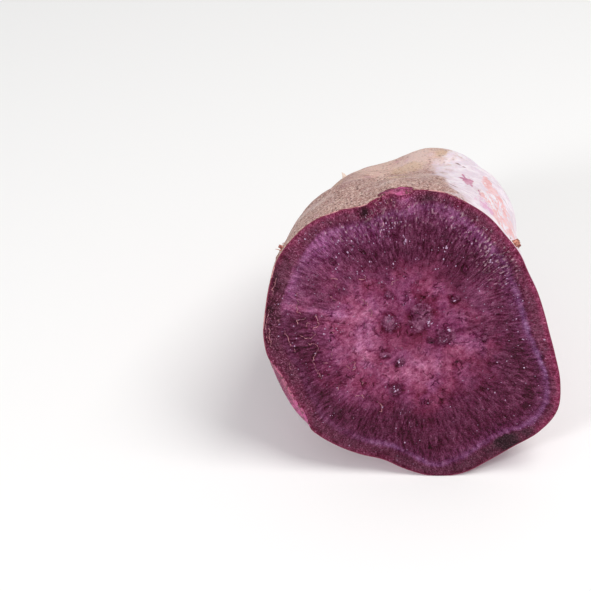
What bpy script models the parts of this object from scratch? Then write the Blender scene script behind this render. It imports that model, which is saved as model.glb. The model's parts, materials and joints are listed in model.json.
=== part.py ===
"""Half of a purple sweet potato, cut straight across and lying on its side.

Units are metres, with +Z up. The cut face looks towards -Y and a little up, and the root end
points towards +Y. The origin is on the table, under the middle of the object's box.

The whole half is one solid of two kinds of surface: the flat knife cut, and the skin. A point on
the skin is given by its angle round the tuber's axis, counted anticlockwise from the right as
seen from in front of the cut, and by its depth behind the plane of the cut.
"""

import math

import bpy
import bmesh
import numpy as np
from mathutils import Vector, noise

MM = 0.001

# The knife cut. Its outline is the distance from the pith to the skin at every 10 degrees.
CUT_RADII_MM = (
    37.0, 35.7, 35.2, 35.1, 36.1, 36.9, 38.4, 39.5, 40.7, 40.8, 40.9, 39.0,
    40.4, 41.8, 42.1, 41.9, 40.7, 40.0, 40.0, 39.6, 39.2, 39.3, 39.8, 39.8,
    39.5, 39.2, 39.2, 41.8, 44.5, 45.4, 44.8, 45.0, 46.6, 46.7, 43.4, 39.6,
)
CUT_CENTRE = Vector((-0.0005, -0.0437, 0.0424))
CUT_LEANS_BACK = math.radians(13)

# The tuber behind the cut, which swells into an oval and closes in a blunt end.
BODY_LENGTH = 89 * MM
OVAL_RIGHT = 36 * MM
OVAL_LEFT = 37 * MM
OVAL_TOP = 35.2 * MM
OVAL_BOTTOM = 40 * MM
END_BLUNTNESS = 2.3
SIDE_FULLNESS = 2.1
RIM_SHAPE_FADES_BY = 0.22
BEND_TO_RIGHT = 4.1 * MM
BEND_UP = 5.5 * MM
BEND_POWER = 1.5

# The drawn-out root end, broken off short.
ROOT_END = 98 * MM
ROOT_NECK_RADIUS = 3.6 * MM
ROOT_TIP_RADIUS = 1.5 * MM
ROOT_BLEND = 2.4

# Swellings and hollows of the flanks: angle, depth, height, half-width round, half-width along.
LUMPS = (
    (128, 28, 2.7, 10, 9),
    (99, 56, -5.5, 10, 15),
    (84, 59, 4.9, 14, 8),
    (43, 44, 3.5, 10, 20),
    (359, 23, -4.6, 13, 13),
    (205, 38, 1.4, 12, 16),
    (318, 52, 1.6, 12, 18),
    (350, 72, -1.6, 9, 9),
    (170, 66, -1.8, 10, 10),
)
LUMP_RADIUS_MM = 35
RIM_GUARD = 8 * MM

# Places where the knife or a knock took the skin off the rim: angle, set-in, half-width in degrees.
SHAVED_RIM = ((209, 2.1, 14), (98, 2.1, 6))
SHAVE_DEPTH = 2 * MM

# Sunken eyes, where side roots grew: angle, depth, hollow's depth, half-width round and along.
EYES = (
    (76, 22, 0.7, 1.6, 1.1),
    (72, 47, 0.9, 2.2, 1.4),
    (124, 33, 0.6, 2.2, 1.2),
)
EYE_ROWS = 5
EYES_IN_A_ROW = 4
EYE_FIRST_DEPTH = 16 * MM
EYE_SPACING = 19 * MM
EYE_ROW_START = 28
EYE_ROW_TWIST = 11

# Stubs of broken side roots: angle, depth, foot radius and height in millimetres.
ROOT_STUBS = (
    (41, 4.6, 1.4, 1.0),
    (146, 2.6, 0.6, 1.1),
    (178, 42.0, 1.5, 1.6),
    (236, 58.0, 1.3, 1.3),
    (335, 36.0, 1.5, 1.5),
    (10, 66.0, 1.2, 1.4),
    (68, 76.0, 1.3, 1.2),
)
STUB_SIDES = 8
STUB_SINK = 2.5 * MM

# The mesh.
SIDES = 96
SKIN_DEPTHS_MM = (0, 0.7, 2, 3.6, 5.6, 8)
SKIN_ROWS_BEHIND = 27
TAIL_ROWS = 6
FACE_RINGS = 6

UNEVENNESS = ((27, 0.9), (9, 0.28))

SKIN_COLOUR = (0.42, 0.25, 0.28, 1.0)
FLESH_COLOUR = (0.13, 0.032, 0.08, 1.0)


def clear_scene():
    for obj in list(bpy.data.objects):
        bpy.data.objects.remove(obj, do_unlink=True)


def turn_between(angle, degrees):
    """The signed turn from a direction in degrees to an angle in radians, the short way round."""
    return (angle - math.radians(degrees) + math.pi) % (2 * math.pi) - math.pi


def cut_radius(angle):
    """The cut's outline as a smooth closed curve through the measured radii."""
    radii = np.array(CUT_RADII_MM) * MM
    count = len(radii)
    place = (np.degrees(angle) % 360) * count / 360
    first = np.floor(place).astype(int)
    t = place - first
    before, here, there, after = (radii[(first + k) % count] for k in (-1, 0, 1, 2))
    return 0.5 * (
        2 * here
        + (there - before) * t
        + (2 * before - 5 * here + 4 * there - after) * t**2
        + (3 * here - before - 3 * there + after) * t**3
    )


def shaved(angle):
    """How far the cut's edge is set in from the skin where the rim is chipped or shaved."""
    set_in = 0.0
    for degrees, depth, half_width in SHAVED_RIM:
        turn = turn_between(angle, degrees) / math.radians(half_width)
        set_in = set_in + depth * MM * np.exp(-(turn**4))
    return set_in


def oval_radius(angle):
    """The tuber's rounder section behind the cut, an oval with four different half-axes."""
    across, up = np.cos(angle), np.sin(angle)
    a = np.where(across > 0, OVAL_RIGHT, OVAL_LEFT)
    b = np.where(up > 0, OVAL_TOP, OVAL_BOTTOM)
    return a * b / np.hypot(b * across, a * up)


def lump_height(angle, depth):
    height = 0.0
    for degrees, where, high, half_round, half_along in LUMPS:
        off_round = turn_between(angle, degrees) * LUMP_RADIUS_MM / half_round
        off_along = (depth / MM - where) / half_along
        height = height + high * MM * np.exp(-(off_round**2 + off_along**2) / 2)
    return height


def all_eyes():
    """The eyes seen from the front, and those in slanting rows over the rest of the tuber."""
    eyes = list(EYES)
    for row in range(EYE_ROWS):
        for k in range(EYES_IN_A_ROW):
            degrees = EYE_ROW_START + 360 * row / EYE_ROWS + EYE_ROW_TWIST * k
            where = (EYE_FIRST_DEPTH + EYE_SPACING * (k + (row % 2) / 2)) / MM
            eyes.append((degrees % 360, where, 1.0 + 0.3 * ((row + k) % 3), 3.4, 2.0))
    return eyes


def eye_hollow(angle, depth):
    """How far the skin sinks in at the eyes."""
    hollow = 0.0
    for degrees, where, deep, half_round, half_along in all_eyes():
        off_round = turn_between(angle, degrees) * LUMP_RADIUS_MM / half_round
        off_along = (depth / MM - where) / half_along
        hollow = hollow + deep * MM * np.exp(-(off_round**2 + off_along**2) / 2)
    return hollow


def unevenness(angle, depth):
    """A slow, seeded waviness of the skin, the same at every run."""
    wave = np.zeros(np.shape(angle))
    for index, a in np.ndenumerate(angle):
        d = depth[index]
        around = Vector((math.cos(a), math.sin(a), 0)) * LUMP_RADIUS_MM
        for size, height in UNEVENNESS:
            where = (around + Vector((0, 0, d / MM))) / size
            wave[index] += height * MM * noise.noise(where + Vector((size, 0, 0)))
    return wave


def skin_points(angle, depth):
    """World positions of the skin at these angles and depths."""
    along = np.clip(depth / BODY_LENGTH, 0, 1)
    closing = (1 - along**END_BLUNTNESS) ** (1 / SIDE_FULLNESS)
    cut, oval = cut_radius(angle), oval_radius(angle)
    rim_share = np.exp(-((along / RIM_SHAPE_FADES_BY) ** 2))
    body = closing * (oval + rim_share * (cut - oval))
    behind_rim = 1 - np.exp(-((depth / RIM_GUARD) ** 2))
    body += behind_rim * lump_height(angle, depth)
    body += behind_rim * closing * (unevenness(angle, depth) - eye_hollow(angle, depth))
    body -= shaved(angle) * np.clip(1 - depth / SHAVE_DEPTH, 0, 1)
    to_tip = np.clip((depth - BODY_LENGTH) / (ROOT_END - BODY_LENGTH), -1, 1)
    neck = ROOT_NECK_RADIUS + (ROOT_TIP_RADIUS - ROOT_NECK_RADIUS) * to_tip
    neck = neck * (to_tip > -1)
    radius = (np.clip(body, 0, None) ** ROOT_BLEND + neck**ROOT_BLEND) ** (1 / ROOT_BLEND)
    bend = (depth / BODY_LENGTH) ** BEND_POWER
    right = BEND_TO_RIGHT * bend + radius * np.cos(angle)
    up = BEND_UP * bend + radius * np.sin(angle)
    return placed(right, up, depth)


def placed(right, up, depth):
    """World positions of points given to the right, up the cut and behind it."""
    lean_cos, lean_sin = math.cos(CUT_LEANS_BACK), math.sin(CUT_LEANS_BACK)
    x = CUT_CENTRE.x + right
    y = CUT_CENTRE.y + up * lean_sin + depth * lean_cos
    z = CUT_CENTRE.z + up * lean_cos - depth * lean_sin
    return np.stack(np.broadcast_arrays(x, y, z), axis=-1)


def skin_depths():
    """Depths of the rows of points, close at the rim and at the root end."""
    rim = np.array(SKIN_DEPTHS_MM) * MM
    turn = np.linspace(0, math.pi / 2, SKIN_ROWS_BEHIND + 1)[1:]
    behind = rim[-1] + (0.985 * BODY_LENGTH - rim[-1]) * np.sin(turn)
    tail = np.linspace(0.985 * BODY_LENGTH, ROOT_END, TAIL_ROWS + 1)[1:]
    return np.concatenate([rim, behind, tail])


def add_ring(mesh, points):
    return [mesh.verts.new(p) for p in points]


def join_rings(mesh, outer, inner):
    for k, here in enumerate(outer):
        there = (k + 1) % len(outer)
        mesh.faces.new((here, outer[there], inner[there], inner[k]))


def close_ring(mesh, ring, middle):
    for k, here in enumerate(ring):
        mesh.faces.new((here, ring[(k + 1) % len(ring)], middle))


def build_tuber():
    """The half as one closed mesh: skin from the rim to the broken root end, and the cut face."""
    mesh = bmesh.new()
    angle = np.arange(SIDES) * 2 * math.pi / SIDES
    depths = skin_depths()
    rows = [skin_points(angle, np.full(SIDES, d)) for d in depths]
    skin = [add_ring(mesh, row) for row in rows]
    for near, far in zip(skin, skin[1:]):
        join_rings(mesh, far, near)
    tip = mesh.verts.new(rows[-1].mean(axis=0))
    close_ring(mesh, skin[-1][::-1], tip)
    skin_faces = len(mesh.faces)

    cut_edge = cut_radius(angle) - shaved(angle)
    outer = skin[0]
    for k in range(1, FACE_RINGS):
        radius = cut_edge * (1 - k / FACE_RINGS)
        inner = add_ring(mesh, placed(radius * np.cos(angle), radius * np.sin(angle), 0))
        join_rings(mesh, outer, inner)
        outer = inner
    close_ring(mesh, outer, mesh.verts.new(placed(0, 0, 0)))

    for vert in mesh.verts:
        vert.co.z = max(vert.co.z, 0)
    mesh.faces.ensure_lookup_table()
    for face in mesh.faces[skin_faces:]:
        face.material_index = 1
    bmesh.ops.recalc_face_normals(mesh, faces=mesh.faces)
    return object_from(mesh, "potato_half")


def object_from(mesh, name):
    data = bpy.data.meshes.new(name)
    mesh.to_mesh(data)
    mesh.free()
    obj = bpy.data.objects.new(name, data)
    bpy.context.collection.objects.link(obj)
    return obj


def root_stub(degrees, depth, foot, height, name):
    """A broken side root: a short tapered peg standing out of the skin, its foot sunk well in."""
    angle, where = np.array([math.radians(degrees)]), np.array([depth * MM])
    foot_point = Vector(skin_points(angle, where)[0])
    round_step = Vector(skin_points(angle + 0.05, where)[0]) - foot_point
    along_step = Vector(skin_points(angle, where + MM)[0]) - foot_point
    outward = along_step.cross(round_step).normalized()
    mesh = bmesh.new()
    bmesh.ops.create_cone(
        mesh,
        cap_ends=True,
        segments=STUB_SIDES,
        radius1=foot * MM * 1.25,
        radius2=foot * MM * 0.6,
        depth=height * MM + STUB_SINK,
    )
    stub = object_from(mesh, name)
    stub.rotation_mode = "QUATERNION"
    stub.rotation_quaternion = outward.to_track_quat("Z", "Y")
    stub.location = foot_point + outward * (height * MM - STUB_SINK) / 2
    return stub


def join_stubs(tuber):
    """Grows the root stubs out of the tuber, so that the half stays one body."""
    stubs = bpy.data.collections.new("root_stubs")
    bpy.context.scene.collection.children.link(stubs)
    for k, (degrees, depth, foot, height) in enumerate(ROOT_STUBS):
        stub = root_stub(degrees, depth, foot, height, f"root_stub_{k}")
        bpy.context.collection.objects.unlink(stub)
        stubs.objects.link(stub)
    union = tuber.modifiers.new("root_stubs", "BOOLEAN")
    union.operation = "UNION"
    union.operand_type = "COLLECTION"
    union.collection = stubs
    union.solver = "EXACT"
    with bpy.context.temp_override(object=tuber, active_object=tuber):
        bpy.ops.object.modifier_apply(modifier=union.name)
    for stub in list(stubs.objects):
        bpy.data.objects.remove(stub, do_unlink=True)
    bpy.data.collections.remove(stubs)


def material(name, colour, roughness):
    made = bpy.data.materials.new(name)
    made.use_nodes = True
    shader = made.node_tree.nodes["Principled BSDF"]
    shader.inputs["Base Color"].default_value = colour
    shader.inputs["Roughness"].default_value = roughness
    shader.inputs["Metallic"].default_value = 0
    return made


def main():
    clear_scene()
    tuber = build_tuber()
    tuber.data.materials.append(material("potato_skin", SKIN_COLOUR, 0.75))
    tuber.data.materials.append(material("potato_flesh", FLESH_COLOUR, 0.45))
    join_stubs(tuber)
    tuber.data.shade_smooth()
    tuber.data.set_sharp_from_angle(angle=math.radians(50))


main()
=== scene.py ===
"""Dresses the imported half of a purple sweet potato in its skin, its cut flesh and what lies on them."""

import json
import math

import bpy
import numpy as np
from mathutils import Matrix, Vector, kdtree, noise


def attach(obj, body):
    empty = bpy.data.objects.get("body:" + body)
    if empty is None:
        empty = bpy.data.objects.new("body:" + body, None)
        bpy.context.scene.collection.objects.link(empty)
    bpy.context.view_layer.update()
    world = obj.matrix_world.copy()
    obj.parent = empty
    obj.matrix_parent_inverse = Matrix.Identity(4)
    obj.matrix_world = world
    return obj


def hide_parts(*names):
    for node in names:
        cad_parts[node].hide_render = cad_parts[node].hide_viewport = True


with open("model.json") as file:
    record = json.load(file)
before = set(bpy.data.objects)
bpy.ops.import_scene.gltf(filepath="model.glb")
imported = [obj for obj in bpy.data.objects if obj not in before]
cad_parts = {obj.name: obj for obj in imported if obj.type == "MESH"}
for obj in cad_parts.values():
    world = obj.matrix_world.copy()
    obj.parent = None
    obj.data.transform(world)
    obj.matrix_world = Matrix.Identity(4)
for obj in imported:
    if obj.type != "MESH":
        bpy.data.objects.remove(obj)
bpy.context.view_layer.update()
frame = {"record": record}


# The skin.
# It is a thin, tough skin, mauve under a pale bloom, taupe where it has gone corky and magenta where
# it has flaked. It is grown in rows of points from the knife cut back to the broken root end.

MM = 0.001
cut_mount = next(m for m in frame["record"]["mounts"] if m["name"] == "cut_face")
PITH = np.array(cut_mount["pos_m"])
LEAN = math.asin(cut_mount["axis"][2])
CUT_AXES = np.array((
    (1, 0, 0),
    (0, math.sin(LEAN), math.cos(LEAN)),
    (0, math.cos(LEAN), -math.sin(LEAN)),
))

# The cut's outline: its radii in mm at every 10 degrees from the right. All sizes here are in mm.
CUT_RADII = (
    37, 35.7, 35.2, 35.1, 36.1, 36.9, 38.4, 39.5, 40.7, 40.8, 40.9, 39, 40.4, 41.8, 42.1, 41.9, 40.7,
    40, 40, 39.6, 39.2, 39.3, 39.8, 39.8, 39.5, 39.2, 39.2, 41.8, 44.5, 45.4, 44.8, 45, 46.6, 46.7,
    43.4, 39.6,
)
TUBER_LENGTH = 89
OVAL_RIGHT, OVAL_LEFT, OVAL_TOP, OVAL_BOTTOM = 36, 37, 35.2, 40
END_BLUNTNESS, SIDE_FULLNESS = 2.3, 2.1
RIM_SHAPE_FADES_BY = 0.22
BEND_TO_RIGHT, BEND_UP, BEND_POWER = 4.1, 5.5, 1.5
ROOT_END = 98
ROOT_NECK_RADIUS, ROOT_TIP_RADIUS, ROOT_BLEND = 3.6, 1.5, 2.4
NECK_RIBS, NECK_RIBS_START = 0.16, (86, 91)
# Marks are laid out on a straight roll of the girth's radius, and the rows are spaced for the mean one.
# Lumps and grain fade out close to the rim.
GIRTH_RADIUS = 35
MEAN_RADIUS = 38
RIM_GUARD, GRAIN_GUARD = 8, 1.5

# Each lump: angle, depth, height, and half-widths round and along.
LUMPS = (
    (128, 28, 2.7, 10, 9), (99, 56, -5.5, 10, 15), (84, 59, 4.9, 14, 8), (43, 44, 3.5, 10, 20),
    (359, 23, -4.6, 13, 13), (205, 38, 1.4, 12, 16), (318, 52, 1.6, 12, 18), (350, 72, -1.6, 9, 9),
    (170, 66, -1.8, 10, 10),
)
# Unevenness of the skin: the size of its bumps and their height.
SLOW_WAVES = ((27, 0.9), (9, 0.28))
SKIN_GRAIN = ((3.2, 0.075), (1.3, 0.035))

# Each shaved stretch of rim: angle, set-in and half-width in degrees.
SHAVED_RIM = ((208, 2.1, 14), (221, 0.8, 5), (94.8, 1.3, 3.2), (100.5, 0.5, 4.0))
SHAVE_DEPTH = 2

# Each eye: angle, depth, hollow, and half-widths round and along. The rest stand in slanting rows.
EYES_BY_HAND = ((76, 22, 0.7, 1.6, 1.1), (72, 47, 0.9, 2.2, 1.4), (124, 33, 0.6, 2.2, 1.2))
EYE_ROWS, EYES_IN_A_ROW = 5, 4
EYE_FIRST_DEPTH, EYE_SPACING = 16, 19
EYE_ROW_START, EYE_ROW_TWIST = 28, 11

# Marks on the skin: angle, depth, half-widths round and along, and slant in degrees.
CREASES = (
    (74, 13.6, 0.9, 2.2, -30), (77.5, 24, 0.8, 0.8, -10), (65.5, 46.5, 0.5, 1.6, -35),
    (62.8, 44.5, 0.8, 0.5, 0), (93.7, 2.4, 0.9, 0.35, 30), (205, 30, 4.5, 0.5, 12),
    (250, 44, 3.5, 0.5, -17), (330, 25, 4.5, 0.5, 9), (20, 55, 4, 0.5, -12), (285, 70, 3, 0.5, 17),
    (160, 60, 4.5, 0.5, 6),
)
# Long, faint wrinkles, where the skin has dried hard.
WRINKLES = (
    (121, 53.5, 3.6, 0.5, 8), (112, 51.8, 4.5, 0.4, 4), (104, 49.5, 3, 0.4, -6), (116, 48, 3, 0.35, 3),
    (98, 46, 4, 0.4, 2), (86, 40, 5, 0.5, -4), (90, 31, 6, 0.4, 3),
)
# The star-shaped flake, its legs first joined in a core, and small ones below it.
FLAKES = (
    (63.8, 30, 1.6, 3.7, 0), (64.6, 34.8, 0.5, 2.4, -4), (66, 32, 0.9, 1.3, 0),
    (61.8, 31.5, 0.9, 1.5, 0), (65, 26, 0.5, 2, 0), (63, 25.6, 0.5, 2, 0), (60.3, 21.5, 0.3, 1.6, 0),
    (60.6, 18.5, 0.3, 1.2, 0),
)
# Wider flakes, all round the sides and the back.
WIDE_FLAKES = (
    (180, 27, 6, 11, 10), (200, 66, 4, 5, 0), (6, 40, 5, 8, 20), (330, 63, 4, 7, -15),
    (264, 35, 9, 6, 0), (292, 14, 3, 4, 0), (58, 74, 4, 3, 0),
)
# Patches where it is rubbed pink, whole or in a fine net, and one where it shows through bright.
RUBBED_PATCHES = (
    (52.8, 37.5, 1.3, 4, 0), (52, 31, 1.8, 4, 0), (48, 27.5, 1.2, 2.2, 0), (45.5, 21, 1.1, 2.4, 0),
    (47.5, 11.5, 1.1, 2.6, 0), (44.5, 9, 0.8, 2.2, 0),
)
NETTED_PATCHES = ((51.5, 30, 4, 9, 0), (49.5, 19, 8.5, 9, 0), (49, 9, 6.5, 7.5, 0))
PINK_PATCHES = ((60, 9.5, 2.2, 4.2, 0),)
# Patches of the corky top that are tan, and that are worn pale.
TAN_PATCHES = (
    (70, 54, 4.5, 5, 0), (66, 46, 3, 4.5, 0), (92, 47, 7, 6, 0), (97, 27, 4, 9, 0), (140, 50, 8, 6, 0),
)
WORN_PATCHES = (
    (136, 19, 9, 4.5, 20), (146, 11, 4, 5, 0), (84, 33, 4, 5, 0), (100, 10, 3, 2.5, 0),
    (99, 30, 3.5, 5, 0), (90, 22, 4.5, 5, 0), (88, 52, 8, 12, 0), (75, 44, 4, 8, 0),
)

# Angles in degrees and depths in mm at which the skin's looks change.
TAUPE_MIDDLE, TAUPE_LEFT, TAUPE_RIGHT = 124, 60, 49
WIDER_BEHIND, WIDER_BY_CUT = 7, 3
PALE_MIDDLE, PALE_HALF_WIDTH = 40, 62
SLIVER_MIDDLE, CHIP_MIDDLE = 214, 95.8
WOOD_SETS_IN = (86.5, 90)

SKIN_SIDES, SKIN_ROWS = 404, 212
SKIN_THICKNESS = 0.22
RIM_ROWS = (0, 0.06, 0.25, 0.5)
RIM_TUCK = 0.07
ROOT_POINT = 0.8


def placed(right, up, depth):
    """World positions of points given in mm to the right of the pith, up the cut and behind it."""
    steps = np.stack(np.broadcast_arrays(right, up, depth), axis=-1)
    return PITH + steps @ CUT_AXES * MM


def rumple(places, size, seed):
    """Smooth, seeded unevenness between -1 and 1, with bumps of this size in mm."""
    spots = places.reshape(-1, 3) / size + np.array((seed, 0, 0))
    return np.array([noise.noise(spot) for spot in spots.tolist()]).reshape(places.shape[:-1])


def soft_step(value, low, high):
    """0 below low, 1 above high and an easy curve between them."""
    t = np.clip((value - low) / (high - low), 0, 1)
    return t * t * (3 - 2 * t)


def turn_between(angle, degrees):
    return (angle - math.radians(degrees) + math.pi) % (2 * math.pi) - math.pi


def eased(before, here, there, after, t):
    """A smooth curve from here to there, shaped by the values before and after them."""
    slope, bend = there - before, 2 * before - 5 * here + 4 * there - after
    return 0.5 * (2 * here + slope * t + bend * t**2 + (3 * here - before - 3 * there + after) * t**3)


def smooth_round(angle, values):
    """A smooth closed curve through values that stand at equal turns from the right."""
    values = np.array(values, float)
    place = (np.degrees(angle) % 360) * len(values) / 360
    first = np.floor(place).astype(int)
    return eased(*(values[(first + k) % len(values)] for k in (-1, 0, 1, 2)), place - first)


def hump(value, middle, half_width, power=2):
    return np.exp(-(((value - middle) / half_width) ** power))


def shaved(angle):
    """How far the rim is set in where the knife shaved it."""
    set_in = 0.0
    for degrees, deep, half_width in SHAVED_RIM:
        set_in = set_in + deep * hump(turn_between(angle, degrees), 0, math.radians(half_width), 4)
    return set_in


def closing(along):
    """The tuber's girth as a share of its fullest, closing to nothing at its far end."""
    return (1 - np.clip(along, 0, 1) ** END_BLUNTNESS) ** (1 / SIDE_FULLNESS)


def spot_at(angle, depth, degrees, where, half_round, half_along):
    """1 at a spot on the skin, fading to 0 all round it."""
    off_round = turn_between(angle, degrees) * GIRTH_RADIUS / half_round
    off_along = (depth - where) / half_along
    return np.exp(-(off_round**2 + off_along**2) / 2)


def all_eyes():
    eyes = list(EYES_BY_HAND)
    for row in range(EYE_ROWS):
        for k in range(EYES_IN_A_ROW):
            degrees = EYE_ROW_START + 360 * row / EYE_ROWS + EYE_ROW_TWIST * k
            where = EYE_FIRST_DEPTH + EYE_SPACING * (k + (row % 2) / 2)
            eyes.append((degrees % 360, where, 1.0 + 0.3 * ((row + k) % 3), 3.4, 2.0))
    return eyes


def skin_radius(angle, depth):
    """Distance in mm from the tuber's bent axis to its skin."""
    along = depth / TUBER_LENGTH
    across, up = np.cos(angle), np.sin(angle)
    a = np.where(across > 0, OVAL_RIGHT, OVAL_LEFT)
    b = np.where(up > 0, OVAL_TOP, OVAL_BOTTOM)
    oval = a * b / np.hypot(b * across, a * up)
    rim_share = hump(np.clip(along, 0, 1), 0, RIM_SHAPE_FADES_BY)
    body = closing(along) * (oval + rim_share * (smooth_round(angle, CUT_RADII) - oval))
    behind_rim = 1 - hump(depth, 0, RIM_GUARD)
    for degrees, where, high, half_round, half_along in LUMPS:
        body += behind_rim * high * spot_at(angle, depth, degrees, where, half_round, half_along)
    girth = np.stack((GIRTH_RADIUS * across, GIRTH_RADIUS * up, depth), axis=-1)
    relief = sum(height * rumple(girth, size, size) for size, height in SLOW_WAVES)
    for degrees, where, deep, half_round, half_along in all_eyes():
        relief -= deep * spot_at(angle, depth, degrees, where, half_round, half_along)
    body += behind_rim * closing(along) * relief
    near_rim = soft_step(depth, 0, GRAIN_GUARD)
    body += near_rim * sum(height * rumple(girth, size, 7.0) for size, height in SKIN_GRAIN)
    body -= shaved(angle) * np.clip(1 - depth / SHAVE_DEPTH, 0, 1)
    to_tip = np.clip((depth - TUBER_LENGTH) / (ROOT_END - TUBER_LENGTH), -1, 1)
    neck = ROOT_NECK_RADIUS + (ROOT_TIP_RADIUS - ROOT_NECK_RADIUS) * to_tip
    ribs = NECK_RIBS * np.sin(3 * angle + 0.5 * depth) * soft_step(depth, *NECK_RIBS_START)
    neck = neck * soft_step(to_tip, -1, -0.3) * (1 + ribs)
    return (np.clip(body, 0, None) ** ROOT_BLEND + neck**ROOT_BLEND) ** (1 / ROOT_BLEND)


def skin_point(angle, depth, radius):
    """World positions of points on the skin. The underside is pressed flat on the floor."""
    bend = (np.clip(depth, 0, None) / TUBER_LENGTH) ** BEND_POWER
    right, up = BEND_TO_RIGHT * bend + radius * np.cos(angle), BEND_UP * bend + radius * np.sin(angle)
    spot = placed(right, up, depth)
    spot[..., 2] = np.clip(spot[..., 2], 0, None)
    return spot


def even_depths(count):
    """Depths that space the rows of points evenly over the skin, from the rim to the root's tip."""
    body, root = np.linspace(0, 0.999 * TUBER_LENGTH, 3000), np.linspace(TUBER_LENGTH, ROOT_END, 200)
    depth = np.concatenate([body, root])
    radius = np.maximum(MEAN_RADIUS * closing(depth / TUBER_LENGTH), ROOT_NECK_RADIUS)
    walked = np.concatenate([[0], np.cumsum(np.hypot(np.diff(depth), np.diff(radius)))])
    return np.interp(np.linspace(0, walked[-1], count), walked, depth)


def woven(index):
    """Four-sided faces between the rows and columns of a grid of point numbers."""
    corners = (index[:-1, :-1], index[1:, :-1], index[1:, 1:], index[:-1, 1:])
    return np.stack(corners, axis=-1).reshape(-1, 4).tolist()


def mesh_piece(name, corners, faces):
    mesh = bpy.data.meshes.new(name)
    mesh.from_pydata(corners, [], faces)
    mesh.shade_smooth()
    piece = bpy.data.objects.new(name, mesh)
    bpy.context.scene.collection.objects.link(piece)
    return piece


def keep(piece, **values):
    """Keeps a number or a direction for each point of the mesh, which its finish reads."""
    for name, value in values.items():
        value = np.asarray(value, np.float32)
        kind, key = ("FLOAT", "value") if value.ndim == 1 else ("FLOAT_VECTOR", "vector")
        piece.data.attributes.new(name, kind, "POINT").data.foreach_set(key, value.ravel())


# How far a mark reaches into the skin, in mm, and how bright red, green and blue look.
MARK_DEPTH = 12.0
BRIGHTNESS_SHARES = (0.3, 0.59, 0.11)


class Wire:
    """A value in a finish. Sums and products of wires, and their bands, are nodes too."""

    def __init__(self, finish, socket):
        self.finish, self.socket = finish, socket

    def __add__(self, other):
        return self.finish.sum("ADD", self, other)

    __radd__ = __add__

    def __sub__(self, other):
        return self.finish.sum("SUBTRACT", self, other)

    def __mul__(self, other):
        """Times a number or a wire, or a direction stretched along each axis."""
        if isinstance(other, tuple):
            return self.finish.vector("MULTIPLY", self, other)
        return self.finish.sum("MULTIPLY", self, other)

    def band(self, low, high, bottom=0, top=1):
        """An easy rise from bottom to top as the value goes from low to high."""
        inputs = {"Value": self, "From Min": low, "From Max": high, "To Min": bottom, "To Max": top}
        return self.finish.node("ShaderNodeMapRange", "Result", inputs, interpolation_type="SMOOTHSTEP")


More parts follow.
